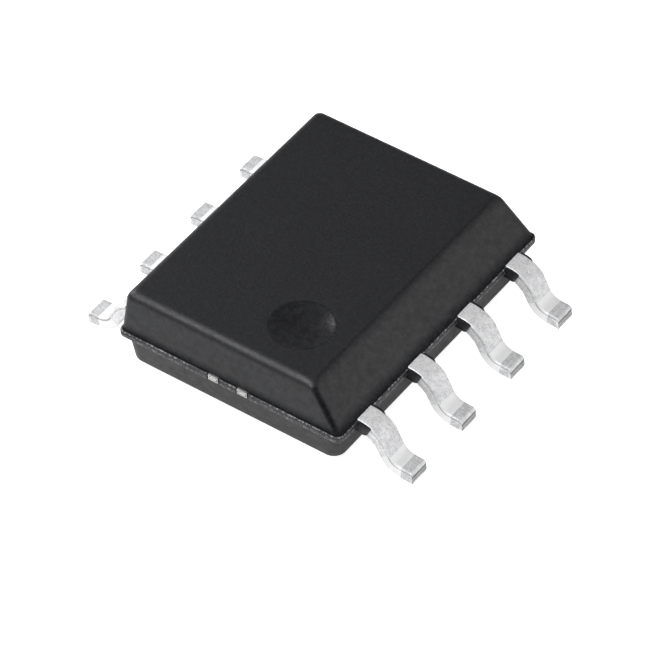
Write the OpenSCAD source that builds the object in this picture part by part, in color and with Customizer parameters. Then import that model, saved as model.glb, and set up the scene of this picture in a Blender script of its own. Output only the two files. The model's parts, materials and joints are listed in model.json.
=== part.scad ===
// Small-outline integrated circuit with eight gull-wing leads.
// Frame: origin on the seating plane under the middle of the body, +Z up,
// X across the body, Y along it. The bevelled long side faces +X, and leads 1
// to 4 stand along it from -Y to +Y. Leads 5 to 8 come back along the -X side.

/* [Mould body] */
// Length of the body along Y, where the two mould halves meet
body_length = 5.06; // [4.8:0.02:5.4]
// Width of the body along X, where the two mould halves meet
body_width = 3.86; // [3.6:0.02:4.2]
// Height of the upper mould half, above the parting line
upper_height = 0.65; // [0.55:0.05:0.9]
// Height of the lower mould half, below the parting line
lower_height = 0.6; // [0.55:0.05:0.8]
// Gap between the underside of the body and the seating plane
standoff = 0.17; // [0.1:0.01:0.25]
// Draft of the upper half's upright long side, in degrees
side_draft = 2; // [1:1:10]
// Draft of the upper half's two ends, in degrees
end_draft = 11; // [5:1:15]
// Draft of the lower half's walls, in degrees
lower_draft = 7; // [5:1:15]
// Radius of the upright corners of the upper half and the ledge
corner_r = 0.1; // [0.05:0.01:0.2]
// Radius of the upright corners of the lower half
lower_corner_r = 0.2; // [0.1:0.01:0.3]
// Radius of the edge round the top face
top_edge_r = 0.12; // [0.04:0.01:0.16]
// Width of the bevel on the +X side, in from the parting line
bevel_width = 0.55; // [0.35:0.01:0.7]

/* [Parting ledge] */
// How far the ledge stands out from the upper half's walls
ledge_overhang = 0.03; // [0.02:0.01:0.1]
// How far the ledge stands out from the lower half's walls
lower_overhang = 0.06; // [0.02:0.01:0.1]
// Thickness of the ledge, down from the parting line
ledge_thickness = 0.12; // [0.06:0.01:0.2]
// Length of the resin left on the leads' sides beyond the ledge
resin_web_length = 0.18; // [0.1:0.01:0.22]
// Thickness of the resin left on the leads' sides
resin_web_thickness = 0.04; // [0.02:0.01:0.08]

/* [Marks] */
// Diameter of the round mark beside lead 1
mark_diameter = 0.98; // [0.6:0.02:1.2]
// Depth of the dished mark at its middle
mark_depth = 0.07; // [0.03:0.01:0.12]
// Distance of the mark's centre from the bevelled edge of the top face
mark_inset_x = 0.8; // [0.7:0.05:1.4]
// Distance of the mark's centre from the end of the top face
mark_inset_y = 0.9; // [0.8:0.05:1.2]
// Diameter of the ejector mark under the body
ejector_diameter = 0.9; // [0.6:0.05:1.2]
// Depth of the ejector mark under the body
ejector_depth = 0.03; // [0.01:0.01:0.05]

/* [Leads] */
// Distance between the centres of neighbouring leads
lead_spacing = 1.27; // [1.2:0.01:1.3]
// Width of a lead outside the body
lead_width = 0.36; // [0.31:0.01:0.5]
// Thickness of the sheet that the leads and the die pad are stamped from
sheet_thickness = 0.2; // [0.17:0.01:0.25]
// Distance over the tips of opposite leads
lead_span = 5.8; // [5.75:0.05:6.4]
// Radius of the shoulder bend, as a share of the reach from the ledge to the toe
shoulder_share = 0.46; // [0.32:0.01:0.48]
// Radius of the heel bend, as a share of the reach from the ledge to the toe
heel_share = 0.34; // [0.22:0.01:0.38]
// Slope of the leg between the two bends, in degrees
leg_angle = 62; // [55:1:68]
// Slope of the foot down to its toe, in degrees
foot_angle = 4; // [0:1:8]
// Radius of the upper edge of the toe
toe_r = 0.04; // [0.01:0.01:0.08]
// How far the cut ends of the dam bar stand out from a lead's sides
dam_bar_nib = 0.02; // [0.01:0.01:0.05]
// Length of the cut ends of the dam bar, along the lead
dam_bar_width = 0.16; // [0.1:0.01:0.2]

/* [Leadframe inside the body] */
// Width of the die pad along X
die_pad_width = 2.1; // [1.8:0.05:2.2]
// Length of the die pad along Y
die_pad_length = 2.6; // [2.2:0.05:2.7]
// How far the die pad lies below the leads
die_pad_downset = 0.14; // [0.06:0.01:0.2]
// Gap between the die pad and the inner leads
inner_gap = 0.16; // [0.12:0.01:0.25]
// Width of the inner leads' bond posts
bond_post_width = 0.5; // [0.4:0.05:0.6]
// Radius of the lock hole in each inner lead
lock_hole_r = 0.07; // [0.04:0.01:0.09]
// Width of a tie bar
tie_bar_width = 0.17; // [0.12:0.01:0.22]
// Thickness of a tie bar
tie_bar_thickness = 0.1; // [0.06:0.01:0.12]
// Distance between the centres of a pair of tie bars
tie_bar_spacing = 0.51; // [0.4:0.01:0.6]

/* [Die and wires] */
// Width of the die along X
die_width = 1.3; // [1:0.05:1.5]
// Length of the die along Y
die_length = 1.8; // [1.4:0.05:2]
// Thickness of the die
die_thickness = 0.2; // [0.15:0.01:0.24]
// Thickness of the glue under the die
glue_thickness = 0.025; // [0.015:0.005:0.04]
// How far the glue spreads out from under the die
glue_spread = 0.05; // [0.02:0.01:0.1]
// Diameter of the bond wires
wire_diameter = 0.03; // [0.02:0.005:0.05]
// Height of the wire loops over the die
loop_height = 0.15; // [0.1:0.01:0.18]
// Diameter of the ball at the die end of a wire
ball_diameter = 0.08; // [0.06:0.01:0.1]
// Height of the ball at the die end of a wire
ball_height = 0.03; // [0.02:0.005:0.04]
// Diameter of the stitch at the lead end of a wire
stitch_diameter = 0.07; // [0.05:0.01:0.09]

/* [Hidden] */
$fn = 64;

// Heights from the seating plane
underside_z = standoff;
parting_z = underside_z + lower_height;
top_z = parting_z + upper_height;
ledge_z = parting_z - ledge_thickness;
sheet_z = parting_z - sheet_thickness;
die_pad_top_z = parting_z - die_pad_downset;
die_bottom_z = die_pad_top_z + glue_thickness;
die_top_z = die_bottom_z + die_thickness;

// Half sizes of the upper half at the parting line, of the ledge, and of the lower half under it
half_width = body_width / 2;
half_length = body_length / 2;
ledge_half_width = half_width + ledge_overhang;
ledge_half_length = half_length + ledge_overhang;
lower_half_width = ledge_half_width - lower_overhang;
lower_half_length = ledge_half_length - lower_overhang;

// Walls lean in by these amounts over their height
side_lean = upper_height * tan(side_draft);
end_lean = upper_height * tan(end_draft);
lower_lean = (lower_height - ledge_thickness) * tan(lower_draft);

// Facets of the upright corners, the top edge, the dished mark and the ends of the bond wires
corner_steps = 8;
edge_steps = 4;
dish_facets = 128;
bond_facets = 24;

// The bevel meets the top face at a blunt corner, which takes less rounding than a square one
bevel_edge_share = tan(atan(upper_height / bevel_width) / 2);

// Bends are measured on the middle of the sheet, and grow with the lead's reach
bend_steps = 10;
half_sheet = sheet_thickness / 2;
lead_reach = lead_span / 2 - ledge_half_width;
shoulder_mid_r = shoulder_share * lead_reach;
heel_mid_r = heel_share * lead_reach;
shoulder_r = shoulder_mid_r - half_sheet;
heel_r = heel_mid_r - half_sheet;

// The leg and the foot take up what the two bends leave of the drop and the reach
drop_left = parting_z - half_sheet - half_sheet * cos(foot_angle)
    - shoulder_mid_r * (1 - cos(leg_angle))
    - heel_mid_r * (cos(foot_angle) - cos(leg_angle));
reach_left = lead_reach
    - shoulder_mid_r * sin(leg_angle)
    - heel_mid_r * (sin(leg_angle) - sin(foot_angle))
    - (half_sheet - toe_r) * sin(foot_angle)
    - toe_r * (1 - cos(foot_angle));
bend_turn = sin(leg_angle - foot_angle);
leg_length = (drop_left * cos(foot_angle) - reach_left * sin(foot_angle)) / bend_turn;
foot_length = (reach_left * sin(leg_angle) - drop_left * cos(leg_angle)) / bend_turn;

// Rows run from -Y to +Y on the +X side and back on the -X side
leads_per_side = 4;
function lead_side(n) = n <= leads_per_side ? 1 : -1;
function lead_row(n) = n <= leads_per_side ? n : 2 * leads_per_side + 1 - n;
function lead_y(n) = (lead_row(n) - (leads_per_side + 1) / 2) * lead_spacing;
function is_end_lead(n) = lead_row(n) == 1 || lead_row(n) == leads_per_side;

// Where the bond posts stand, on the +X side of the body
end_post_y = die_pad_length / 2 + inner_gap + bond_post_width / 2;
end_post_x = tie_bar_spacing / 2 + tie_bar_width / 2 + inner_gap;
side_post_x = die_pad_width / 2 + inner_gap;

// A wire has this many sides and rings, and comes down on its post from this
// share of its span away
wire_sides = 8;
wire_steps = 10;
landing_share = 0.3;

black_resin = [0.17, 0.175, 0.19];
tin = [0.82, 0.83, 0.84];
plated_sheet = [0.66, 0.66, 0.67];
cured_glue = [0.75, 0.75, 0.72];
silicon = [0.3, 0.33, 0.4];

// ---- Mould body ----

// One closed outline of a rectangle with round corners, at height z
function rounded_outline(x0, x1, y0, y1, r, z) = [
    for (corner = [[x1, y0, 270], [x1, y1, 0], [x0, y1, 90], [x0, y0, 180]])
        for (i = [0 : corner_steps])
            let (
                turn = corner[2] + 90 * i / corner_steps,
                cx = corner[0] + (corner[0] == x1 ? -r : r),
                cy = corner[1] + (corner[1] == y1 ? -r : r)
            )
            [cx + r * cos(turn), cy + r * sin(turn), z]
];

// Closed solid through a stack of outlines that have as many points each
module loft(outlines) {
    count = len(outlines[0]);
    last = (len(outlines) - 1) * count;
    points = [for (outline = outlines) for (p = outline) p];
    walls = [
        for (k = [0 : len(outlines) - 2])
            for (i = [0 : count - 1])
                let (j = (i + 1) % count)
                [k * count + i, (k + 1) * count + i, (k + 1) * count + j, k * count + j]
    ];
    floor_face = [for (i = [0 : count - 1]) i];
    roof_face = [for (i = [count - 1 : -1 : 0]) last + i];
    polyhedron(points, concat([floor_face], walls, [roof_face]), convexity = 4);
}

// Outline of the upper half at a share of its height, drawn in by inset
function upper_outline(share, inset) = rounded_outline(
    -half_width + share * side_lean + inset,
    half_width - share * bevel_width - bevel_edge_share * inset,
    -half_length + share * end_lean + inset,
    half_length - share * end_lean - inset,
    corner_r,
    parting_z + share * upper_height
);

module upper_half() {
    loft(concat(
        [upper_outline(0, 0)],
        [
            for (i = [0 : edge_steps])
                let (turn = 90 * i / edge_steps)
                    upper_outline(
                        1 - top_edge_r * (1 - sin(turn)) / upper_height,
                        top_edge_r * (1 - cos(turn))
                    )
        ]
    ));
}

// Outline of the lower half, drawn in by lean at height z
function lower_outline(lean, z) = rounded_outline(
    -lower_half_width + lean,
    lower_half_width - lean,
    -lower_half_length + lean,
    lower_half_length - lean,
    lower_corner_r,
    z
);

module lower_half() {
    loft([
        lower_outline(lower_lean, underside_z),
        lower_outline(0, ledge_z),
        lower_outline(0, parting_z)
    ]);
}

module parting_ledge() {
    loft([
        for (z = [ledge_z, parting_z])
            rounded_outline(
                -ledge_half_width, ledge_half_width,
                -ledge_half_length, ledge_half_length, corner_r, z
            )
    ]);
}

// Thin resin that stays on both sides of each lead, out to the dam bar's place
module resin_webs() {
    for (n = [1 : 2 * leads_per_side])
        place_lead(n)
            for (side = [-1, 1])
                intersection() {
                    translate([0, side * (lead_width + resin_web_thickness) / 2, 0])
                        lead_strip(resin_web_thickness);
                    translate([half_width, -lead_width, 0])
                        cube([ledge_overhang + resin_web_length, 2 * lead_width, top_z]);
                }
}

// Shallow round dish, cut downwards from the origin
module dish(diameter, depth) {
    ball_r = (diameter * diameter / 4 + depth * depth) / (2 * depth);
    translate([0, 0, ball_r - depth])
        sphere(r = ball_r, $fn = dish_facets);
}

module mould_body() {
    mark_x = half_width - bevel_width - mark_inset_x;
    mark_y = -half_length + end_lean + mark_inset_y;
    color(black_resin)
        difference() {
            union() {
                upper_half();
                parting_ledge();
                lower_half();
                resin_webs();
            }
            translate([mark_x, mark_y, top_z])
                dish(mark_diameter, mark_depth);
            translate([0, 0, underside_z - ejector_depth])
                cylinder(h = 2 * ejector_depth, d = ejector_diameter);
            die_pad();
            die_glue();
            die();
            for (n = [1 : 2 * leads_per_side]) {
                lead(n);
                bond_wire(n);
            }
        }
}

// ---- Leads ----

// Moves what is drawn for the +X side, with its lead along X, to lead n's place
module place_lead(n) {
    translate([0, lead_y(n), 0])
        mirror([lead_side(n) > 0 ? 0 : 1, 0, 0])
            children();
}

// Points along an arc, from one angle to another
function arc_points(centre, r, from_angle, to_angle) = [
    for (i = [0 : bend_steps])
        let (turn = from_angle + (to_angle - from_angle) * i / bend_steps)
        [centre[0] + r * cos(turn), centre[1] + r * sin(turn)]
];

// Side view of a lead in X and Z, from inside the ledge out to the toe: along
// the upper side, round the toe and back along the underside
module lead_profile() {
    shoulder = [ledge_half_width, parting_z - sheet_thickness - shoulder_r];
    heel = shoulder
        + (shoulder_mid_r + heel_mid_r) * [sin(leg_angle), cos(leg_angle)]
        + leg_length * [cos(leg_angle), -sin(leg_angle)];
    foot_way = [cos(foot_angle), -sin(foot_angle)];
    foot_up = [sin(foot_angle), cos(foot_angle)];
    toe = heel - heel_mid_r * foot_up + foot_length * foot_way;
    toe_centre = toe - toe_r * foot_way + (half_sheet - toe_r) * foot_up;
    polygon(concat(
        [[half_width - ledge_overhang, parting_z]],
        arc_points(shoulder, shoulder_r + sheet_thickness, 90, 90 - leg_angle),
        arc_points(heel, heel_r, 270 - leg_angle, 270 - foot_angle),
        arc_points(toe_centre, toe_r, 90 - foot_angle, -foot_angle),
        [toe - half_sheet * foot_up],
        arc_points(heel, heel_r + sheet_thickness, 270 - foot_angle, 270 - leg_angle),
        arc_points(shoulder, shoulder_r, 90 - leg_angle, 90),
        [[half_width - ledge_overhang, sheet_z]]
    ));
}

// The bent part of a lead as a strip of the given width, centred on Y
module lead_strip(width) {
    translate([0, width / 2, 0])
        rotate([90, 0, 0])
            linear_extrude(width)
                lead_profile();
}

// What the shears leave of the dam bar on both sides of a lead
module dam_bar_nibs() {
    nib_x = ledge_half_width + resin_web_length;
    intersection() {
        lead_strip(lead_width + 2 * dam_bar_nib);
        translate([nib_x, -lead_width, 0])
            cube([dam_bar_width, 2 * lead_width, parting_z]);
    }
}

// Flat outline of an inner lead that points straight at the die pad
module side_inner_lead() {
    neck_x = (side_post_x + half_width) / 2;
    polygon([
        [half_width, -lead_width / 2],
        [half_width, lead_width / 2],
        [neck_x, bond_post_width / 2],
        [side_post_x, bond_post_width / 2],
        [side_post_x, -bond_post_width / 2],
        [neck_x, -bond_post_width / 2]
    ]);
}

// Flat outline of an inner lead at the body's end, turned in past the die pad;
// inward is the way along Y from the lead to the middle of the body
module end_inner_lead(y, inward) {
    post_y = inward * (abs(y) - end_post_y);
    half_post = bond_post_width / 2;
    neck_x = (side_post_x + half_width) / 2;
    polygon([
        [half_width, -lead_width / 2],
        [half_width, lead_width / 2],
        [neck_x, max(lead_width / 2, post_y + half_post)],
        [end_post_x, post_y + half_post],
        [end_post_x, post_y - half_post],
        [neck_x, min(-lead_width / 2, post_y - half_post)]
    ]);
}

module inner_lead(n) {
    inward = lead_y(n) > 0 ? -1 : 1;
    hole_x = (side_post_x + half_width) / 2;
    translate([0, 0, sheet_z])
        linear_extrude(sheet_thickness)
            difference() {
                if (is_end_lead(n))
                    end_inner_lead(lead_y(n), inward);
                else
                    side_inner_lead();
                translate([hole_x, 0])
                    circle(r = lock_hole_r);
            }
}

module lead(n) {
    color(tin)
        place_lead(n) {
            inner_lead(n);
            lead_strip(lead_width);
            dam_bar_nibs();
        }
}

// ---- Die pad, die and glue ----

// Side view of a tie bar, in Y and Z: level with the leads, then down to the pad
module tie_bar_profile() {
    ramp_start = die_pad_length / 2;
    ramp_end = ramp_start + 2 * die_pad_downset;
    polygon([
        [ramp_start - inner_gap, die_pad_top_z],
        [ramp_start, die_pad_top_z],
        [ramp_end, parting_z],
        [ledge_half_length, parting_z],
        [ledge_half_length, parting_z - tie_bar_thickness],
        [ramp_end, parting_z - tie_bar_thickness],
        [ramp_start, die_pad_top_z - tie_bar_thickness],
        [ramp_start - inner_gap, die_pad_top_z - tie_bar_thickness]
    ]);
}

module tie_bar() {
    translate([-tie_bar_width / 2, 0, 0])
        rotate([90, 0, 90])
            linear_extrude(tie_bar_width)
                tie_bar_profile();
}

module die_pad() {
    color(plated_sheet) {
        translate([-die_pad_width / 2, -die_pad_length / 2, die_pad_top_z - sheet_thickness])
            cube([die_pad_width, die_pad_length, sheet_thickness]);
        for (end = [0, 1])
            mirror([0, end, 0])
                for (side = [-1, 1])
                    translate([side * tie_bar_spacing / 2, 0, 0])
                        tie_bar();
    }
}

module die_glue() {
    width = die_width + 2 * glue_spread;
    length = die_length + 2 * glue_spread;
    color(cured_glue)
        translate([-width / 2, -length / 2, die_pad_top_z])
            cube([width, length, glue_thickness]);
}

module die() {
    color(silicon)
        translate([-die_width / 2, -die_length / 2, die_bottom_z])
            cube([die_width, die_length, die_thickness]);
}

// ---- Bond wires ----

// Both ends of wire n on the plan: a pad on the die and a bond post
function die_pad_xy(n) = [
    lead_side(n) * (die_width / 2 - ball_diameter),
    lead_y(n) * (die_length / 2 - ball_diameter) / abs(lead_y(1))
];
function post_xy(n) = is_end_lead(n)
    ? [lead_side(n) * (end_post_x + bond_post_width / 2), sign(lead_y(n)) * end_post_y]
    : [lead_side(n) * (side_post_x + stitch_diameter), lead_y(n)];

// Point at share t along a curve with four guide points
function curve_point(g, t) =
    pow(1 - t, 3) * g[0] + 3 * t * pow(1 - t, 2) * g[1]
    + 3 * t * t * (1 - t) * g[2] + t * t * t * g[3];
function curve_slope(g, t) =
    pow(1 - t, 2) * (g[1] - g[0]) + 2 * t * (1 - t) * (g[2] - g[1])
    + t * t * (g[3] - g[2]);

module bond_wire(n) {
    from = die_pad_xy(n);
    to = post_xy(n);
    wire_r = wire_diameter / 2;
    start = [from[0], from[1], die_top_z + ball_height / 2];
    finish = [to[0], to[1], parting_z + wire_r];
    span = to - from;
    across = [-span[1], span[0], 0] / norm(span);
    // The loop tops out at three quarters of its guides' height
    rise = (loop_height + ball_height / 2) * 4 / 3;
    guides = [
        start,
        start + [0, 0, rise],
        finish + [0, 0, rise] - landing_share * [span[0], span[1], 0],
        finish
    ];
    outlines = [
        for (k = [0 : wire_steps])
            let (
                t = k / wire_steps,
                slope = curve_slope(guides, t),
                up = cross(slope / norm(slope), across)
            )
            [
                for (i = [0 : wire_sides - 1])
                    let (turn = 360 * (i + 0.5) / wire_sides)
                    curve_point(guides, t)
                        + wire_r * (cos(turn) * across + sin(turn) * up)
            ]
    ];
    color("gold") {
        loft(outlines);
        translate([from[0], from[1], die_top_z])
            cylinder(h = ball_height, d = ball_diameter, $fn = bond_facets);
        translate([to[0], to[1], parting_z])
            cylinder(h = wire_diameter, d = stitch_diameter, $fn = bond_facets);
    }
}

mould_body();
die_pad();
die_glue();
die();
lead(1);  // lead_1
lead(2);  // lead_2
lead(3);  // lead_3
lead(4);  // lead_4
lead(5);  // lead_5
lead(6);  // lead_6
lead(7);  // lead_7
lead(8);  // lead_8
bond_wire(1);  // bond_wire_1
bond_wire(2);  // bond_wire_2
bond_wire(3);  // bond_wire_3
bond_wire(4);  // bond_wire_4
bond_wire(5);  // bond_wire_5
bond_wire(6);  // bond_wire_6
bond_wire(7);  // bond_wire_7
bond_wire(8);  // bond_wire_8
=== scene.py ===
# %% [markdown]
# # A small-outline integrated circuit, dressed for its picture
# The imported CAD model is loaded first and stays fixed. Its sizes are exact, but
# its bends and its dished mark are cut into facets, and it has no surface
# finish. This lesson builds finer skins over the same sizes, gives each of
# them a material made of nodes, and then adds the floor, the light and the
# camera. All lengths below are in millimetres until a mesh is made.

# %% Load the frame
import json
import math

import bmesh
import bpy
import numpy as np
from mathutils import Matrix, Vector, noise

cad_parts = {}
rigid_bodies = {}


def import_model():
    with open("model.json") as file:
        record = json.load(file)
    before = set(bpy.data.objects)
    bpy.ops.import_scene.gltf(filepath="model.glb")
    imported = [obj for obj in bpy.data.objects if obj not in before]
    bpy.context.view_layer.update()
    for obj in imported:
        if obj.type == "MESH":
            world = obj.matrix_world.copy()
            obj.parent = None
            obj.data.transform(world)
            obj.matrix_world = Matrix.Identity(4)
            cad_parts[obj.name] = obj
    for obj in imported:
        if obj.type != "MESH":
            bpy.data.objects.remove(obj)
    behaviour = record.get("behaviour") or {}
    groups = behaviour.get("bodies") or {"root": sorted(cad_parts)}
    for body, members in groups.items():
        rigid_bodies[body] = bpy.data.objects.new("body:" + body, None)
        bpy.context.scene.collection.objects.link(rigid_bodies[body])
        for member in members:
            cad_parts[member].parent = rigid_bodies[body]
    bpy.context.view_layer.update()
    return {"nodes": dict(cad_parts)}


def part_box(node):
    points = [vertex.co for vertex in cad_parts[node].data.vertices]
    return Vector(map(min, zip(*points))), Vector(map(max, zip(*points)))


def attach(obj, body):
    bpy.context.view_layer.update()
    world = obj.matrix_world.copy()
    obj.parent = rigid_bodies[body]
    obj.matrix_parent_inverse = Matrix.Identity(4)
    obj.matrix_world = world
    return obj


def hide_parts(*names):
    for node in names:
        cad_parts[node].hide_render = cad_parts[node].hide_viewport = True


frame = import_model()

MM = 0.001

# %% [markdown]
# ## The sizes that everything follows
# A chip like this is drawn from its parting line: the level where the two
# halves of the mould met, which is also the top of the metal sheet that the
# leads were stamped from. The heights come from the CAD boxes, so that they
# can't drift away from the solids. What a box can't tell, such as a draft or
# a bend, is a named value here.

# %% Sizes read from the CAD boxes
mould_low, mould_high = (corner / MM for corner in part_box("mould_body"))
pad_low, pad_high = (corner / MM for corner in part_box("die_pad"))
lead_low, lead_high = (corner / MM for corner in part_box("lead_1"))

underside_z = mould_low.z
top_z = mould_high.z
parting_z = pad_high.z
ledge_half_length = pad_high.y
lead_tip_x = lead_high.x
print("underside, parting line, top:", *(round(z, 3) for z in (underside_z, parting_z, top_z)))

# %% Sizes that a box can't tell
ledge_half_width = 1.96
ledge_overhang = 0.03
lower_overhang = 0.06
ledge_thickness = 0.12
bevel_width = 0.55
side_draft = math.radians(2)
end_draft = math.radians(11)
lower_draft = math.radians(7)
corner_r = 0.1
lower_corner_r = 0.2
top_edge_r = 0.12

sheet = 0.2
lead_width = 0.36
lead_spacing = 1.27
leg_angle = math.radians(62)
foot_angle = math.radians(4)

half_width = ledge_half_width - ledge_overhang
half_length = ledge_half_length - ledge_overhang
lower_half_width = ledge_half_width - lower_overhang
lower_half_length = ledge_half_length - lower_overhang
ledge_z = parting_z - ledge_thickness
print("body at the parting line:", 2 * half_width, "by", round(2 * half_length, 3))

# %% [markdown]
# ## One tool for every moulded or bent piece
# The body, the leads and the slivers of resin are all shapes whose section
# changes slowly along a way. So one helper does for all of them: it takes a
# stack of closed rings with as many points each, joins neighbours with
# four-sided faces, and closes the two ends. A boolean of boxes would be
# quicker to write, but it leaves hard edges, and hard edges catch no light.

# %% A skin through a stack of rings
def skin(name, rings, marks=None):
    """Mesh piece through closed rings (in mm); marks are one number a point, by name."""
    rings = np.asarray(rings, float)
    count, points = rings.shape[:2]
    faces = []
    for k in range(count - 1):
        for i in range(points):
            j = (i + 1) % points
            faces.append((k * points + i, k * points + j, (k + 1) * points + j, (k + 1) * points + i))
    faces.append(tuple(reversed(range(points))))
    faces.append(tuple(range((count - 1) * points, count * points)))
    mesh = bpy.data.meshes.new(name)
    mesh.from_pydata((rings.reshape(-1, 3) * MM).tolist(), [], faces)
    for mark, values in (marks or {}).items():
        layer = mesh.attributes.new(mark, "FLOAT", "POINT")
        layer.data.foreach_set("value", np.asarray(values, np.float32).ravel())
    face_outwards(mesh)
    piece = bpy.data.objects.new(name, mesh)
    bpy.context.scene.collection.objects.link(piece)
    return piece


def face_outwards(mesh):
    """Turn every face to the outside, also on mirrored pieces."""
    shape = bmesh.new()
    shape.from_mesh(mesh)
    bmesh.ops.recalc_face_normals(shape, faces=shape.faces)
    shape.to_mesh(mesh)
    shape.free()


def smooth(piece, sharp_angle=35):
    """Smooth shading that keeps edges sharper than the angle, and keeps flats flat."""
    mesh = piece.data
    mesh.polygons.foreach_set("use_smooth", [True] * len(mesh.polygons))
    mesh.set_sharp_from_angle(angle=math.radians(sharp_angle))
    weighting = piece.modifiers.new("flat_faces", "WEIGHTED_NORMAL")
    weighting.keep_sharp = True
    weighting.weight = 80
    return piece


# %% [markdown]
# ## The moulded body
# The resin is pressed into a steel mould in two halves, so every wall leans in
# a little to let the part out, and a thin ledge runs round where the halves
# met. One long side is a broad bevel: it tells a person and a machine which
# way round the leads are counted. The whole body is one stack of rings, from
# the ejector mark underneath, up the walls, over the rounded top edge and
# across the top face into the dished mark.

# %% A ring round the body
corner_steps = 10
side_points = 40


def body_ring(left, right, front, back, r, z):
    """Rectangle with round corners; each corner and each side has a fixed number of points."""
    corners = [(right - r, front + r, -90), (right - r, back - r, 0),
               (left + r, back - r, 90), (left + r, front + r, 180)]
    ring = []
    for k, (x, y, start) in enumerate(corners):
        for step in range(corner_steps + 1):
            turn = math.radians(start + 90 * step / corner_steps)
            ring.append((x + r * math.cos(turn), y + r * math.sin(turn), z))
        next_x, next_y, next_start = corners[(k + 1) % 4]
        turn = math.radians(next_start)
        ahead = (next_x + r * math.cos(turn), next_y + r * math.sin(turn))
        here = ring[-1]
        for step in range(1, side_points + 1):
            share = step / (side_points + 1)
            ring.append((here[0] + share * (ahead[0] - here[0]),
                         here[1] + share * (ahead[1] - here[1]), z))
    return np.array(ring)


def circle_ring(outer, centre, r, z):
    """Circle whose points lie in line with those of an outer ring."""
    turns = np.arctan2(outer[:, 1] - centre[1], outer[:, 0] - centre[0])
    return np.stack([centre[0] + r * np.cos(turns), centre[1] + r * np.sin(turns),
                     np.full(len(turns), z)], axis=1)


def rings_between(first, last, count):
    """Evenly spread rings between two rings, without those two."""
    return [first + (last - first) * k / (count + 1) for k in range(1, count + 1)]


# %% The lower half and the ledge
lower_edge_r = 0.03
ledge_edge_r = 0.02


def lower_ring(z, inset=0.0):
    lean = max(0.0, ledge_z - z) * math.tan(lower_draft) + inset
    return body_ring(-lower_half_width + lean, lower_half_width - lean,
                     -lower_half_length + lean, lower_half_length - lean, lower_corner_r, z)


def ledge_ring(z, inset):
    return body_ring(-ledge_half_width + inset, ledge_half_width - inset,
                     -ledge_half_length + inset, ledge_half_length - inset, corner_r, z)


lower_rings = []
for step in range(6):
    turn = math.radians(90 * step / 5)
    lower_rings.append(lower_ring(underside_z + lower_edge_r * (1 - math.sin(math.pi / 2 - turn)),
                                  lower_edge_r * (1 - math.sin(turn))))
for share in (0.25, 0.5, 0.75, 0.93, 1.0):
    z = underside_z + lower_edge_r + share * (ledge_z - underside_z - lower_edge_r)
    lower_rings.append(lower_ring(z))

ledge_rings = []
for step in range(4):
    turn = math.radians(90 * step / 3)
    ledge_rings.append(ledge_ring(ledge_z + ledge_edge_r * (1 - math.cos(turn)),
                                  ledge_edge_r * (1 - math.sin(turn))))
for step in range(4):
    turn = math.radians(90 * step / 3)
    ledge_rings.append(ledge_ring(parting_z - 0.004 - ledge_edge_r * (1 - math.sin(turn)),
                                  ledge_edge_r * (1 - math.cos(turn))))
print("rings up to the parting line:", len(lower_rings) + len(ledge_rings))

# %% The upper half, with its bevel
upper_height = top_z - parting_z
bevel_edge_share = math.tan(math.atan(upper_height / bevel_width) / 2)


def upper_ring(rise, inset=0.0):
    return body_ring(-half_width + rise * math.tan(side_draft) + inset,
                     half_width - rise / upper_height * bevel_width - bevel_edge_share * inset,
                     -half_length + rise * math.tan(end_draft) + inset,
                     half_length - rise * math.tan(end_draft) - inset, corner_r, parting_z + rise)


flush_gap = 0.004
wall_height = upper_height - top_edge_r
wall_rises = [-flush_gap, 0.02, 0.05, 0.09, 0.14, 0.2, 0.3, 0.4, wall_height - 0.02, wall_height]
upper_rings = [upper_ring(rise) for rise in wall_rises]
edge_steps = 8
for step in range(1, edge_steps + 1):
    turn = math.radians(90 * step / edge_steps)
    upper_rings.append(upper_ring(upper_height - top_edge_r * (1 - math.sin(turn)),
                                  top_edge_r * (1 - math.cos(turn))))
print("rings of the upper half:", len(upper_rings))

# %% The dished mark beside lead 1
mark_inset_x, mark_inset_y = 0.8, 0.9
mark_centre = (half_width - bevel_width - mark_inset_x,
               -half_length + upper_height * math.tan(end_draft) + mark_inset_y)
mark_r = 0.49
mark_depth = 0.07
mark_rim_r = 0.02
ball_r = (mark_r ** 2 + mark_depth ** 2) / (2 * mark_depth)


def dish_z(r):
    return top_z - mark_depth + ball_r - math.sqrt(ball_r ** 2 - r ** 2)


top_outline = upper_rings[-1]
rim = circle_ring(top_outline, mark_centre, mark_r + mark_rim_r, top_z)
top_rings = [top_outline + (rim - top_outline) * 0.02]
top_rings += rings_between(top_outline, rim, 16)
top_rings.append(rim)
top_rings.append(circle_ring(top_outline, mark_centre, mark_r + 0.4 * mark_rim_r, top_z - 0.0012))
for r in np.linspace(mark_r - 0.6 * mark_rim_r, 0.01, 22):
    top_rings.append(circle_ring(top_outline, mark_centre, r, dish_z(r)))
print("mark", 2 * mark_r, "mm wide, centre at", [round(v, 3) for v in mark_centre])

# %% The ejector mark underneath, and the whole body
ejector_r = 0.45
ejector_depth = 0.03
bottom_outline = lower_rings[0]
ejector_rings = [circle_ring(bottom_outline, (0, 0), r, underside_z + ejector_depth)
                 for r in (0.01, 0.2, 0.4, ejector_r - 0.008)]
ejector_rings.append(circle_ring(bottom_outline, (0, 0), ejector_r, underside_z + 0.022))
ejector_rings.append(circle_ring(bottom_outline, (0, 0), ejector_r, underside_z + 0.006))
ejector_rings.append(circle_ring(bottom_outline, (0, 0), ejector_r + 0.006, underside_z))
underside_rings = rings_between(ejector_rings[-1], bottom_outline, 12)

body_rings = ejector_rings + underside_rings + lower_rings + ledge_rings + upper_rings + top_rings
first_ledge = len(ejector_rings) + len(underside_rings) + len(lower_rings)
first_upper = first_ledge + len(ledge_rings)
first_top = first_upper + len(upper_rings)
ring_points = len(upper_rings[0])

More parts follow.
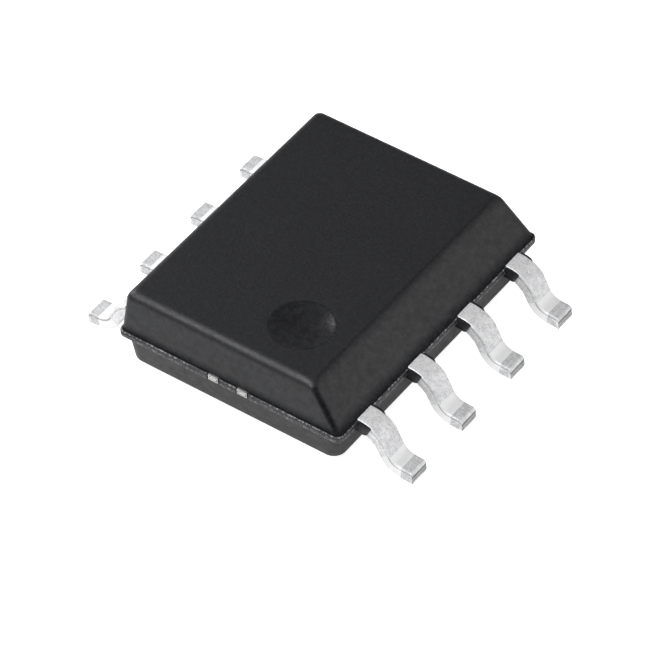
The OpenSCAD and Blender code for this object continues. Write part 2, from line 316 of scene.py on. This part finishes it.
polished = np.zeros((len(body_rings), ring_points))
polished[first_top + 18:] = 1
# Painted shade: specular falls away in a band at the foot of the upper half, darkest where it meets the ledge. The
# same mark also darkens a stripe down the near front corner.
shaded = np.zeros((len(body_rings), ring_points))
shaded[first_upper - 1:first_upper + 5] = np.array([1, 1, 0.95, 0.7, 0.35, 0])[:, None]
corner_share = np.sin(np.linspace(0, math.pi, corner_steps + 1)) ** 2
shaded[first_upper + 1:first_top - edge_steps + 2, :corner_steps + 1] = np.maximum(
    shaded[first_upper + 1:first_top - edge_steps + 2, :corner_steps + 1], corner_share)
# Painted highlight: the ledge's upper round edge (full) and its lower round edge (0.6) get light grey flecks in the
# resin colour.
line = np.zeros((len(body_rings), ring_points))
line[first_ledge + 5:first_ledge + 7] = 1
line[first_ledge + 2:first_ledge + 4] = 0.6

body = skin("moulded_body", body_rings, {"polished": polished, "shaded": shaded, "line": line})
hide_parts("mould_body")
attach(body, "root")
print("body:", len(body.data.vertices), "points,", len(body.data.polygons), "faces")

# %% [markdown]
# ## Pockets for the tie bars
# The tie bars held the die pad while the resin was poured, and were cut off
# flush with the ledge. Each end sits in a hair's breadth of shadow, because
# the cut pulled the resin away from it. A shallow pocket is cut for each of
# them with a boolean, as a small pocket in a big face is what a boolean is
# good at.

# %% Cut the pockets
tie_bar_width = 0.17
tie_bar_thickness = 0.1
tie_bar_x = 0.255
pocket_gap = 0.02
pocket_depth = 0.035


def small_box(name, low, high):
    """Closed box between two corners, as a stack of two rings."""
    rings = []
    for z in (low[2], high[2]):
        rings.append([(low[0], low[1], z), (high[0], low[1], z),
                      (high[0], high[1], z), (low[0], high[1], z)])
    return skin(name, rings)


def cut(piece, tool):
    """Take the tool's shape out of the piece, and throw the tool away."""
    boolean = piece.modifiers.new("cut", "BOOLEAN")
    boolean.operation = "DIFFERENCE"
    boolean.solver = "EXACT"
    boolean.object = tool
    bpy.context.view_layer.update()
    shaped = bpy.data.meshes.new_from_object(piece.evaluated_get(bpy.context.evaluated_depsgraph_get()))
    piece.modifiers.remove(boolean)
    piece.data = shaped
    bpy.data.objects.remove(tool)


for end in (-1, 1):
    for side in (-1, 1):
        outer_y = end * (ledge_half_length + 0.05)
        inner_y = end * (ledge_half_length - pocket_depth)
        half = tie_bar_width / 2 + pocket_gap
        cut(body, small_box(
            "pocket_tool",
            (side * tie_bar_x - half, min(outer_y, inner_y), parting_z - tie_bar_thickness - pocket_gap),
            (side * tie_bar_x + half, max(outer_y, inner_y), parting_z + 0.004)))
smooth(body)
print("body after the pockets:", len(body.data.polygons), "faces")

# %% [markdown]
# ## The leads
# A lead is a strip of sheet bent twice: down at the shoulder and out again at
# the heel, so that its foot lies on the board. The way along the middle of
# the sheet is worked out from the span, the drop and the two bends, as in the
# CAD. Then a section is carried along it. The punch rolls the sheet's upper
# edge over and leaves a fine line where the metal tore, so the section has a
# round upper edge and a thin groove under it.

# %% The way along a lead
half_sheet = sheet / 2
toe_r = 0.045
reach = lead_tip_x - ledge_half_width
shoulder_r = 0.46 * reach
heel_r = 0.34 * reach
drop_left = (parting_z - half_sheet - half_sheet * math.cos(foot_angle)
             - shoulder_r * (1 - math.cos(leg_angle))
             - heel_r * (math.cos(foot_angle) - math.cos(leg_angle)))
reach_left = (reach - shoulder_r * math.sin(leg_angle)
              - heel_r * (math.sin(leg_angle) - math.sin(foot_angle))
              - half_sheet * math.sin(foot_angle))
turn_between = math.sin(leg_angle - foot_angle)
leg_length = (drop_left * math.cos(foot_angle) - reach_left * math.sin(foot_angle)) / turn_between
foot_length = (reach_left * math.sin(leg_angle) - drop_left * math.cos(leg_angle)) / turn_between
print("leg", round(leg_length, 3), "mm, foot", round(foot_length, 3), "mm")


def lead_way():
    """Stations (x, z, tilt, part) along the middle of the sheet, outside the ledge."""
    way = []
    sheet_z = parting_z - half_sheet
    for step in range(19):
        tilt = leg_angle * step / 18
        way.append((ledge_half_width + shoulder_r * math.sin(tilt),
                    sheet_z - shoulder_r * (1 - math.cos(tilt)), tilt, "shoulder"))
    x, z = way[-1][:2]
    for share in (0.25, 0.5, 0.75, 0.97):
        way.append((x + share * leg_length * math.cos(leg_angle),
                    z - share * leg_length * math.sin(leg_angle), leg_angle, "leg"))
    x += leg_length * math.cos(leg_angle)
    z -= leg_length * math.sin(leg_angle)
    for step in range(15):
        tilt = leg_angle + (foot_angle - leg_angle) * step / 14
        way.append((x + heel_r * (math.sin(leg_angle) - math.sin(tilt)),
                    z - heel_r * (math.cos(tilt) - math.cos(leg_angle)), tilt, "heel"))
    x, z = way[-1][:2]
    for share in (0.03, 0.3, 0.6, 0.75):
        way.append((x + share * foot_length * math.cos(foot_angle),
                    z - share * foot_length * math.sin(foot_angle), foot_angle, "foot"))
    return way, (x, z)


# %% The section of a lead
roll_r = 0.022
burr_r = 0.012
groove_below = 0.05
groove_half = 0.012


def section(y0, y1, low, high, groove):
    """Points (y, height) round the sheet, and which of them lie in the groove."""
    full = min(1.0, (high - low) / sheet)
    roll = roll_r * full
    burr = burr_r * full
    below = groove_below * full
    half = groove_half * full

    def side(y, way):
        points = []
        for step in range(4):
            turn = math.radians(90 * step / 3)
            points.append((y - way * burr * (1 - math.sin(turn)), low + burr * (1 - math.cos(turn)), 0))
        points.append((y, (low + high) / 2 - 0.02 * full, 0))
        points.append((y, high - below - half, 0))
        points.append((y - way * groove, high - below - 0.3 * half, 1))
        points.append((y - way * groove, high - below + 0.3 * half, 1))
        points.append((y - way * 0.002, high - below + half, 0))
        for step in range(5):
            turn = math.radians(90 * step / 4)
            points.append((y - way * roll * (1 - math.cos(turn)), high - roll * (1 - math.sin(turn)), 0))
        return points

    right = side(y1, 1)
    left = side(y0, -1)
    top = [(y1 + (y0 - y1) * k / 8, high, 0) for k in (2, 4, 6)]
    bottom = [(y0 + (y1 - y0) * k / 8, low, 0) for k in (2, 4, 6)]
    return right + top + left[::-1] + bottom


# %% Where each lead stands, and its inner end
leads_per_side = 4
bond_post_width = 0.5
inner_gap = 0.16
die_pad_half_width, die_pad_half_length = 1.05, 1.3
end_post_y = die_pad_half_length + inner_gap + bond_post_width / 2
end_post_x = tie_bar_x + tie_bar_width / 2 + inner_gap
side_post_x = die_pad_half_width + inner_gap


def lead_place(n):
    """Side of the body (+1 or -1) and the Y of lead n."""
    side = 1 if n <= leads_per_side else -1
    row = n if n <= leads_per_side else 2 * leads_per_side + 1 - n
    return side, (row - (leads_per_side + 1) / 2) * lead_spacing


def inner_stations(n):
    """(x, y0, y1) of the flat part inside the resin, from the bond post out."""
    side, y = lead_place(n)
    half = lead_width / 2
    post = bond_post_width / 2
    neck_x = (side_post_x + half_width) / 2
    if abs(y) < lead_spacing:
        return [(side_post_x, -post, post), (neck_x, -post, post), (half_width, -half, half)]
    post_y = (-1 if y > 0 else 1) * (abs(y) - end_post_y)
    return [(end_post_x, post_y - post, post_y + post),
            (neck_x, min(-half, post_y - post), max(half, post_y + post)),
            (half_width, -half, half)]


# %% Build one lead
dam_bar_start = 0.18
dam_bar_width = 0.16
dam_bar_nib = 0.02
groove_depth = {"shoulder": 0.006, "leg": 0.003, "heel": 0.010, "foot": 0.012}


def place_ring(n, x, z, tilt, points):
    """Carry a section to a station of lead n."""
    side, y = lead_place(n)
    return [(side * (x + height * math.sin(tilt)), y + across, z + height * math.cos(tilt))
            for across, height, _ in points]


def lead_piece(n):
    rings, heel, foot, bare_and_groove_shade = [], [], [], []

    def add(x, z, tilt, y0, y1, low, high, groove, heel_mark=0, foot_mark=0, bare_mark=0):
        points = section(y0, y1, low, high, groove)
        rings.append(place_ring(n, x, z, tilt, points))
        heel.append([heel_mark] * len(points))
        foot.append([foot_mark] * len(points))
        # painted shade: groove points are darkened through the same mark as the bare toe end
        bare_and_groove_shade.append([max(bare_mark, p[2] * min(1, groove / 0.012)) for p in points])

    half = lead_width / 2
    sheet_z = parting_z - half_sheet
    for x, y0, y1 in inner_stations(n):
        add(x, sheet_z, 0, y0, y1, -half_sheet, half_sheet, 0)
    way, (heel_x, heel_z) = lead_way()
    nib_from = ledge_half_width + dam_bar_start
    for x, z, tilt, part in way:
        nib = nib_from < x < nib_from + dam_bar_width
        wide = half + (0.5 * dam_bar_nib if nib else 0)
        # heel_mark whitens the inside of the heel in the tin: a painted highlight
        add(x, z, tilt, -wide, wide, -half_sheet, half_sheet, groove_depth[part],
            heel_mark=part == "heel", foot_mark=part == "foot")

    toe_face = foot_length - 0.010

    def toe(along, high, foot_mark=1, bare_mark=0):
        x = heel_x + along * math.cos(foot_angle)
        z = heel_z - along * math.sin(foot_angle)
        add(x, z, foot_angle, -half, half, -half_sheet, high, groove_depth["foot"], 0, foot_mark, bare_mark)

    for step in range(6):
        turn = math.radians(90 * step / 5)
        toe(toe_face - toe_r * (1 - math.sin(turn)), half_sheet - toe_r * (1 - math.cos(turn)), foot_mark=0)
    face_top = half_sheet - toe_r
    toe(toe_face, face_top - 0.008, 0, 1)
    toe(toe_face, face_top - 0.060, 0, 0.7)
    toe(toe_face, face_top - 0.066, 0, 0)
    toe(foot_length, face_top - 0.072, 0, 0)
    toe(foot_length, face_top - 0.078, 0, 0.8)
    toe(foot_length, face_top - 0.100, 0, 0.8)
    toe(foot_length, face_top - 0.110, 0, 0)
    piece = skin(f"gull_wing_lead_{n}", rings, {"heel": heel, "foot": foot, "bare_and_groove_shade": bare_and_groove_shade})
    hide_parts(f"lead_{n}")
    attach(piece, "root")
    return smooth(piece, 40)


leads = [lead_piece(n) for n in range(1, 2 * leads_per_side + 1)]
print("leads:", len(leads), "of", len(leads[0].data.polygons), "faces each")

# %% [markdown]
# ## Slivers of resin beside the leads
# While the resin was under pressure it crept along the sides of each lead, out
# to the dam bar that shut it in. The dam bar is cut away later, and the
# slivers stay. They follow the first part of the lead's bend, so they are
# carried along the same way, with a thinner section of their own.

# %% Build the slivers
sliver_thickness = 0.04
sliver_ridge = 0.006


def sliver_section(y0, y1, low, high, ridge):
    outer = 1 if abs(y1) > abs(y0) else -1
    near, far = (y0, y1) if outer > 0 else (y1, y0)
    far_edge = far - outer * 0.008
    return [(near, low, 0), (far_edge, low, 0), (far, low + 0.012, 0),
            (far - outer * ridge, (low + high) / 2 - 0.02, 0), (far, (low + high) / 2, 0),
            (far, high - 0.05, 0), (far - outer * ridge, high - 0.04, 0), (far, high - 0.03, 0),
            (far_edge, high - 0.006, 0), (near, high - 0.004, 0)]


def sliver(n, edge):
    rings = []
    half = lead_width / 2
    inner = edge * (half - 0.01)
    outer = edge * (half + sliver_thickness)
    stations = [(half_width, parting_z - half_sheet, 0, 1.0)]
    for step in range(9):
        along = dam_bar_start * step / 8
        tilt = math.asin(along / shoulder_r)
        fill = 1.0 if step < 7 else (0.8 if step == 7 else 0.45)
        stations.append((ledge_half_width + along,
                         parting_z - half_sheet - shoulder_r * (1 - math.cos(tilt)), tilt, fill))
    for x, z, tilt, fill in stations:
        out = inner + (outer - inner) * fill
        low, high = sorted((inner, out))
        points = sliver_section(low, high, -half_sheet * 0.96, half_sheet * 0.96, sliver_ridge * fill)
        rings.append(place_ring(n, x, z, tilt, points))
    return skin(f"resin_sliver_{n}_{'a' if edge < 0 else 'b'}", rings)


slivers = []
for n in range(1, 2 * leads_per_side + 1):
    for edge in (-1, 1):
        piece = sliver(n, edge)
        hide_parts("mould_body")
        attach(piece, "root")
        slivers.append(smooth(piece, 30))
print("slivers:", len(slivers))

# %% [markdown]
# ## The cut ends of the tie bars
# Each end is the sheared end of a thin strip. The shear drags its edges round
# and leaves a step, so an end is a small pillow with a dull middle.

# %% Build the tie bar ends
def tie_bar_end(name, side, end):
    rings = []
    for inset, out, mark in ((0.0, -pocket_depth - 0.01, 0), (0.0, -0.016, 0), (0.004, -0.006, 0),
                             (0.012, 0.0, 0), (0.026, 0.0, 1), (0.030, -0.004, 1), (0.034, -0.004, 1)):
        x0 = side * tie_bar_x - tie_bar_width / 2 + inset
        x1 = side * tie_bar_x + tie_bar_width / 2 - inset
        z0 = parting_z - tie_bar_thickness + inset
        z1 = parting_z - 0.002 - inset
        y = end * (ledge_half_length + out)
        ring = []
        r = 0.014
        for cx, cz, start in ((x1 - r, z0 + r, -90), (x1 - r, z1 - r, 0), (x0 + r, z1 - r, 90), (x0 + r, z0 + r, 180)):
            for step in range(5):
                turn = math.radians(start + 90 * step / 4)
                ring.append((cx + r * math.cos(turn), y, cz + r * math.sin(turn)))
        rings.append(ring)
    piece = skin(name, rings, {"heel": np.zeros((7, 20)), "foot": np.zeros((7, 20)),
                               "bare_and_groove_shade": [[0] * 20] * 4 + [[0.5] * 20] * 3})
    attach(piece, "root")
    return smooth(piece, 40)


tie_bar_ends = []
for end in (-1, 1):
    for side in (-1, 1):
        label = ("front" if end < 0 else "back") + ("_left" if side < 0 else "_right")
        tie_bar_ends.append(tie_bar_end(f"tie_bar_end_{label}", side, end))
print("tie bar ends:", [piece.name for piece in tie_bar_ends])

# %% [markdown]
# ## Materials
# Every finish here is worked out from the place on the piece, so nothing is
# unwrapped and no picture is loaded. The texture places are the object's own
# coordinates, which are metres in the shared frame, scaled up to millimetres.

# %% Small helpers for node materials
def new_material(name):
    material = bpy.data.materials.new(name)
    material.use_nodes = True
    return material, material.node_tree, material.node_tree.nodes["Principled BSDF"]


def node(tree, kind, links=None, **settings):
    """Add a node, set its fields, and join or set its inputs."""
    made = tree.nodes.new(kind)
    for key, value in settings.items():
        setattr(made, key, value)
    for key, value in (links or {}).items():
        if isinstance(value, bpy.types.NodeSocket):
            tree.links.new(value, made.inputs[key])
        else:
            made.inputs[key].default_value = value
    return made


def millimetres(tree):
    place = node(tree, "ShaderNodeTexCoord").outputs["Object"]
    return node(tree, "ShaderNodeVectorMath", {0: place, 1: (1 / MM,) * 3}, operation="MULTIPLY").outputs[0]


def grain(tree, place, scale, detail=3.0, roughness=0.55):
    return node(tree, "ShaderNodeTexNoise", {"Vector": place, "Scale": scale, "Detail": detail,
                                             "Roughness": roughness}).outputs["Fac"]


def ramp(tree, value, stops):
    """Colour or grey ramp; stops are (place, grey or colour)."""
    made = node(tree, "ShaderNodeValToRGB", {"Fac": value})
    points = made.color_ramp.elements
    while len(points) < len(stops):
        points.new(0.5)
    for point, (place, shade) in zip(points, stops):
        point.position = place
        point.color = (shade, shade, shade, 1) if isinstance(shade, float) else (*shade, 1)
    return made.outputs["Color"]


def number(tree, value, low, high, to_low, to_high):
    return node(tree, "ShaderNodeMapRange", {"Value": value, "From Min": low, "From Max": high,
                                             "To Min": to_low, "To Max": to_high}).outputs["Result"]


def blend(tree, share, first, second, mode="MIX"):
    return node(tree, "ShaderNodeMix", {0: share, 6: first, 7: second}, data_type="RGBA",
                blend_type=mode).outputs[2]


def maths(tree, operation, a, b=0.0):
    return node(tree, "ShaderNodeMath", {0: a, 1: b}, operation=operation).outputs[0]


def mark_value(tree, name):
    return node(tree, "ShaderNodeAttribute", attribute_name=name).outputs["Fac"]


# %% [markdown]
# ### Moulding resin
# The mould's steel is spark-eroded, so the resin comes out with a fine even
# grain that scatters light. The grain is bump from two sizes of noise. The
# colour hardly changes, but the gloss does: where the grain is flatter it
# shines a little more.

# %% The resin
def resin_material():
    material, tree, surface = new_material("moulded_resin")
    place = millimetres(tree)
    fine = grain(tree, place, 26.0, 2.0)
    medium = grain(tree, place, 9.0, 3.0)
    broad = grain(tree, place, 0.9, 3.0)
    mottled = maths(tree, "MULTIPLY", fine, medium)
    colour = ramp(tree, mottled, [(0.14, (0.0040, 0.0042, 0.0055)), (0.40, (0.0150, 0.0155, 0.0185))])
    shade = ramp(tree, broad, [(0.3, 0.92), (0.7, 1.08)])
    colour = blend(tree, 1.0, colour, shade, "MULTIPLY")
    # painted highlight: light grey flecks along the ledge's edges, wherever the line mark is set
    flecks = number(tree, grain(tree, place, 20.0, 2.0, 0.7), 0.50, 0.58, 0.1, 1.0)
    painted_ledge_highlight = maths(tree, "MULTIPLY", mark_value(tree, "line"), flecks)
    colour = blend(tree, painted_ledge_highlight, colour, (0.30, 0.30, 0.31, 1))
    tree.links.new(colour, surface.inputs["Base Color"])
    polished = mark_value(tree, "polished")
    rough = number(tree, medium, 0.3, 0.7, 0.50, 0.38)
    tree.links.new(number(tree, polished, 0, 1, rough, 0.26), surface.inputs["Roughness"])
    # painted shade: where the shaded mark is set, most of the specular reflection is taken away
    tree.links.new(number(tree, mark_value(tree, "shaded"), 0, 1, 0.5, 0.08), surface.inputs["Specular IOR Level"])
    height = maths(tree, "ADD", maths(tree, "MULTIPLY", fine, 0.5), medium)
    bump = node(tree, "ShaderNodeBump", {"Height": height, "Strength": 0.6, "Distance": 0.006 * MM})
    tree.links.new(bump.outputs["Normal"], surface.inputs["Normal"])
    return material


resin = resin_material()
for piece in [body] + slivers:
    piece.data.materials.clear()
    piece.data.materials.append(resin)
print("resin on", 1 + len(slivers), "pieces")

# %% [markdown]
# ### Tin plate
# The leads are plated with matt tin. It is nearly white, with soft cloudy
# patches and hair-fine scuffs from the bending tools. The tool presses the foot
# flat and dull, and the shear leaves the toe's end bare. The inside of the heel
# is whitened as a painted highlight, and the groove under the rolled edge is
# darkened as painted shade. The three marks that the lead's skin carries say where.

# %% The tin
def tin_material():
    material, tree, surface = new_material("matt_tin")
    place = millimetres(tree)
    cloud = grain(tree, place, 11.0, 4.0, 0.65)
    fine = grain(tree, place, 38.0, 2.0)
    mottle = maths(tree, "ADD", maths(tree, "MULTIPLY", cloud, 0.5), maths(tree, "MULTIPLY", fine, 0.5))
    plate = ramp(tree, mottle, [(0.38, (0.66, 0.66, 0.68)), (0.50, (0.82, 0.82, 0.83)), (0.60, (0.95, 0.95, 0.955))])
    heel = mark_value(tree, "heel")
    foot = mark_value(tree, "foot")
    bare_and_groove_shade = mark_value(tree, "bare_and_groove_shade")
    dull = ramp(tree, mottle, [(0.38, (0.50, 0.505, 0.515)), (0.60, (0.80, 0.80, 0.81))])
    colour = blend(tree, foot, plate, dull)
    # painted highlight: the inside of the heel is whitened in the base colour
    colour = blend(tree, heel, colour, (0.95, 0.95, 0.95, 1))
    # dark grey: real bare metal on the toe ends and tie bar ends, and painted shade in the groove under the rolled
    # edge
    colour = blend(tree, bare_and_groove_shade, colour, (0.16, 0.16, 0.165, 1))
    tree.links.new(colour, surface.inputs["Base Color"])
    surface.inputs["Metallic"].default_value = 0.45
    rough = number(tree, cloud, 0.3, 0.7, 0.60, 0.45)
    tree.links.new(rough, surface.inputs["Roughness"])
    height = maths(tree, "ADD", maths(tree, "MULTIPLY", fine, 0.4), cloud)
    bump = node(tree, "ShaderNodeBump", {"Height": height, "Strength": 0.25, "Distance": 0.006 * MM})
    tree.links.new(bump.outputs["Normal"], surface.inputs["Normal"])
    return material


tin = tin_material()
for piece in leads + tie_bar_ends:
    piece.data.materials.clear()
    piece.data.materials.append(tin)
print("tin on", len(leads) + len(tie_bar_ends), "pieces")

# %% [markdown]
# ### The pieces sealed in the resin
# Nothing shows of the die, its glue, its pad and the wires, but they are part
# of the object, and an exploded view would show them. They keep their CAD
# solids and get a finish each.

# %% Finishes of the sealed pieces
def plain_metal(name, colour, roughness, scale):
    material, tree, surface = new_material(name)
    place = millimetres(tree)
    cloud = grain(tree, place, scale, 3.0)
    dark = tuple(0.85 * c for c in colour)
    tree.links.new(ramp(tree, cloud, [(0.3, dark), (0.7, colour)]), surface.inputs["Base Color"])
    tree.links.new(number(tree, cloud, 0.3, 0.7, roughness + 0.08, roughness), surface.inputs["Roughness"])
    surface.inputs["Metallic"].default_value = 1.0
    bump = node(tree, "ShaderNodeBump", {"Height": cloud, "Strength": 0.2, "Distance": 0.004 * MM})
    tree.links.new(bump.outputs["Normal"], surface.inputs["Normal"])
    return material


def silicon_material():
    material, tree, surface = new_material("polished_silicon")
    place = millimetres(tree)
    cells = node(tree, "ShaderNodeTexVoronoi", {"Vector": place, "Scale": 14.0}, distance="CHEBYCHEV")
    tone = ramp(tree, cells.outputs["Distance"], [(0.1, (0.10, 0.11, 0.15)), (0.6, (0.17, 0.17, 0.24))])
    tree.links.new(tone, surface.inputs["Base Color"])
    cloud = grain(tree, place, 20.0)
    tree.links.new(number(tree, cloud, 0.3, 0.7, 0.18, 0.28), surface.inputs["Roughness"])
    surface.inputs["Metallic"].default_value = 0.6
    return material


def glue_material():
    material, tree, surface = new_material("silver_filled_glue")
    place = millimetres(tree)
    flakes = node(tree, "ShaderNodeTexVoronoi", {"Vector": place, "Scale": 60.0}).outputs["Distance"]
    tree.links.new(ramp(tree, flakes, [(0.1, (0.75, 0.75, 0.72)), (0.6, (0.42, 0.42, 0.40))]),
                   surface.inputs["Base Color"])
    tree.links.new(number(tree, flakes, 0.1, 0.6, 0.35, 0.6), surface.inputs["Roughness"])
    surface.inputs["Metallic"].default_value = 0.4
    bump = node(tree, "ShaderNodeBump", {"Height": flakes, "Strength": 0.3, "Distance": 0.003 * MM})
    tree.links.new(bump.outputs["Normal"], surface.inputs["Normal"])
    return material


gold = plain_metal("gold_wire", (0.90, 0.66, 0.27), 0.22, 30.0)
alloy = plain_metal("leadframe_alloy", (0.72, 0.71, 0.69), 0.35, 8.0)
sealed = {"die": silicon_material(), "die_glue": glue_material(), "die_pad": alloy}
sealed.update({f"bond_wire_{n}": gold for n in range(1, 2 * leads_per_side + 1)})
for name, material in sealed.items():
    mesh = frame["nodes"][name].data
    mesh.materials.clear()
    mesh.materials.append(material)
print("sealed pieces finished:", len(sealed))

# %% [markdown]
# ## Floor
# The floor is a plain white sheet. For the light it is ordinary matt white, so
# it keeps the shadow of the part. What the camera and mirror-like surfaces
# see of it is lifted to white with a little glow, which lights nothing.

# %% The floor
def floor_material():
    material = bpy.data.materials.new("white_sheet")
    material.use_nodes = True
    tree = material.node_tree
    tree.nodes.clear()
    rays = node(tree, "ShaderNodeLightPath").outputs
    seen = maths(tree, "MAXIMUM", rays["Is Camera Ray"], maths(tree, "MULTIPLY", rays["Is Glossy Ray"], 0.3))
    matt = node(tree, "ShaderNodeBsdfDiffuse", {"Color": (0.8, 0.8, 0.8, 1)}).outputs[0]
    glow = node(tree, "ShaderNodeEmission", {"Color": (1, 1, 1, 1),
                                             "Strength": maths(tree, "MULTIPLY", seen, 0.9)}).outputs[0]
    both = node(tree, "ShaderNodeAddShader", {0: matt, 1: glow}).outputs[0]
    node(tree, "ShaderNodeOutputMaterial", {"Surface": both})
    return material


floor_half = 0.25
floor_mesh = bpy.data.meshes.new("floor")
floor_mesh.from_pydata([(-floor_half, -floor_half, 0), (floor_half, -floor_half, 0),
                        (floor_half, floor_half, 0), (-floor_half, floor_half, 0)], [], [(0, 1, 2, 3)])
floor = bpy.data.objects.new("floor", floor_mesh)
bpy.context.scene.collection.objects.link(floor)
floor_mesh.materials.append(floor_material())

# %% [markdown]
# ## Light
# Small shiny things are lit by what they mirror. Three soft boxes stand for a
# light tent: one overhead, one behind on the right that whitens the heels of
# the leads, and one in front on the left for the near wall. The world fills
# the rest with an even grey, and shows white to the camera.

# %% World and lamps
def make_world(fill):
    world = bpy.data.worlds.new("light_tent")
    world.use_nodes = True
    tree = world.node_tree
    tree.nodes.clear()
    rays = node(tree, "ShaderNodeLightPath").outputs
    strength = number(tree, rays["Is Camera Ray"], 0, 1, fill, 1.0)
    sky = node(tree, "ShaderNodeBackground", {"Color": (1, 1, 1, 1), "Strength": strength}).outputs[0]
    node(tree, "ShaderNodeOutputWorld", {"Surface": sky})
    bpy.context.scene.world = world


def soft_box(name, direction, distance, size, power):
    lamp = bpy.data.lights.new(name, "AREA")
    lamp.shape = "SQUARE"
    lamp.size = size * MM
    lamp.energy = power
    made = bpy.data.objects.new(name, lamp)
    bpy.context.scene.collection.objects.link(made)
    aim = Vector(direction).normalized()
    made.location = aim * distance * MM
    made.rotation_euler = aim.to_track_quat("Z", "Y").to_euler()
    return made


make_world(0.20)
soft_box("box_overhead", (-0.15, -0.50, 0.85), 60, 42, 0.032)
soft_box("box_left", (-0.85, 0.10, 0.55), 60, 32, 0.014)
soft_box("box_right", (0.85, 0.42, 0.38), 60, 44, 0.007)

# %% [markdown]
# ## Camera
# A long lens from a distance keeps the edges nearly parallel, as small parts
# are usually shot. The camera stands 35 degrees round from the front and 45
# degrees up. Its place is worked out from those angles, the distance and a
# small sideways step that centres the part in the frame.

# %% The camera
turn = math.radians(35.432)
rise = math.radians(44.784)
roll = math.radians(0.458)
distance = 68.316
aim_z = 0.8
step_right, step_up = -0.108, -0.626
sensor = 36.0
focal_in_frame_widths = 7.2467

back = Vector((math.sin(turn) * math.cos(rise), -math.cos(turn) * math.cos(rise), math.sin(rise)))
level_right = Vector((math.cos(turn), math.sin(turn), 0))
level_up = back.cross(level_right)
right = math.cos(roll) * level_right - math.sin(roll) * level_up
up = math.sin(roll) * level_right + math.cos(roll) * level_up
place = Vector((0, 0, aim_z)) + step_right * right + step_up * up + distance * back

camera_data = bpy.data.cameras.new("camera")
camera_data.sensor_width = sensor
camera_data.lens = focal_in_frame_widths * sensor
camera_data.clip_start = 0.001
camera_data.clip_end = 2.0
camera = bpy.data.objects.new("camera", camera_data)
bpy.context.scene.collection.objects.link(camera)
camera.matrix_world = Matrix((
    (right.x, up.x, back.x, place.x * MM),
    (right.y, up.y, back.y, place.y * MM),
    (right.z, up.z, back.z, place.z * MM),
    (0, 0, 0, 1)))
bpy.context.scene.camera = camera
bpy.context.scene.view_settings.view_transform = "Standard"
print("lens", round(camera_data.lens, 1), "mm")
